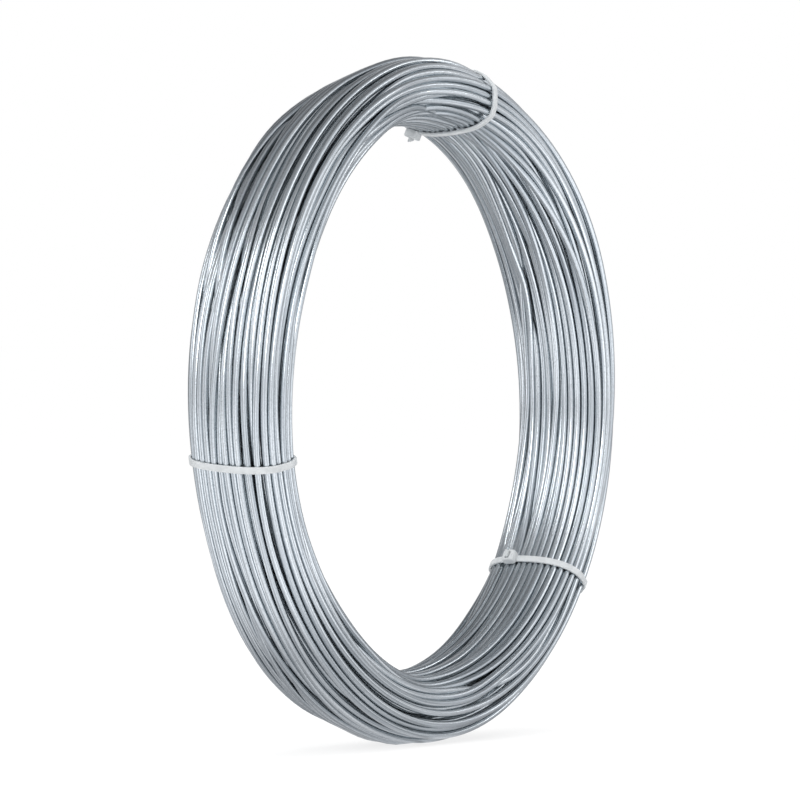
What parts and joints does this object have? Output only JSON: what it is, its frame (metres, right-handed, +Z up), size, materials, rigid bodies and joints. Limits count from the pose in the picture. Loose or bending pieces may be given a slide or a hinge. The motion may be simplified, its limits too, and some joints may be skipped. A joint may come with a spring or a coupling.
{
  "type": "coil of galvanised steel wire",
  "caption": "Ring-shaped coil of round galvanised steel wire with an open eye, its turns bound by nylon cable ties drawn round the section.",
  "frame": {"origin": "on the floor under the middle of the coil, where its rim stands", "axes": "+Z up, +Y along the coil's axis to the far end, so that -Y is the end that the picture shows"},
  "size_m": [0.25, 0.0412, 0.25],
  "materials": {
    "zinc_wire": "galvanised, bright zinc",
    "nylon": "natural white nylon, satin"
  },
  "bodies": {
    "root": {"wire_coil": "zinc_wire", "cable_tie_top": "nylon", "cable_tie_left": "nylon", "cable_tie_right": "nylon"}
  },
  "joints": []
}
